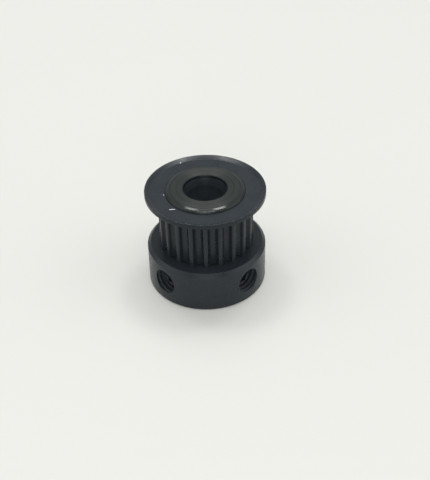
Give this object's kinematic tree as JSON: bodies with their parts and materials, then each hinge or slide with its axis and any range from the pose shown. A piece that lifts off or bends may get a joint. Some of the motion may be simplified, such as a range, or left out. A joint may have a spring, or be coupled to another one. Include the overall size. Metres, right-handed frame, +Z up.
{
  "type": "timing belt pulley",
  "caption": "Flanged timing belt pulley with a toothed drum, a through bore and a clamping hub with radial set screws.",
  "frame": {"origin": "centre of the hub's flat base, on the bore's axis", "axes": "+Z up the bore's axis towards the flange ring; one set screw points along -Y and the other along +X"},
  "size_m": [0.0154, 0.0154, 0.0139],
  "materials": {
    "black_anodised_aluminium": "turned and hobbed, black anodised, satin with fine turning lines",
    "black_pressed_steel": "pressed sheet, blackened, satin",
    "black_oxide_steel": "black oxide, slightly oily"
  },
  "bodies": {
    "pulley": {"pulley_body": "black_anodised_aluminium", "flange_ring": "black_pressed_steel"},
    "front_screw": {"set_screw_front": "black_oxide_steel"},
    "right_screw": {"set_screw_right": "black_oxide_steel"}
  },
  "joints": [
    {"name": "front_screw_travel", "type": "slide", "parent": "pulley", "child": "front_screw", "axis": [0, -1, 0], "range_m": [0, 0.0012]},
    {"name": "right_screw_travel", "type": "slide", "parent": "pulley", "child": "right_screw", "axis": [1, 0, 0], "range_m": [0, 0.0012]}
  ]
}
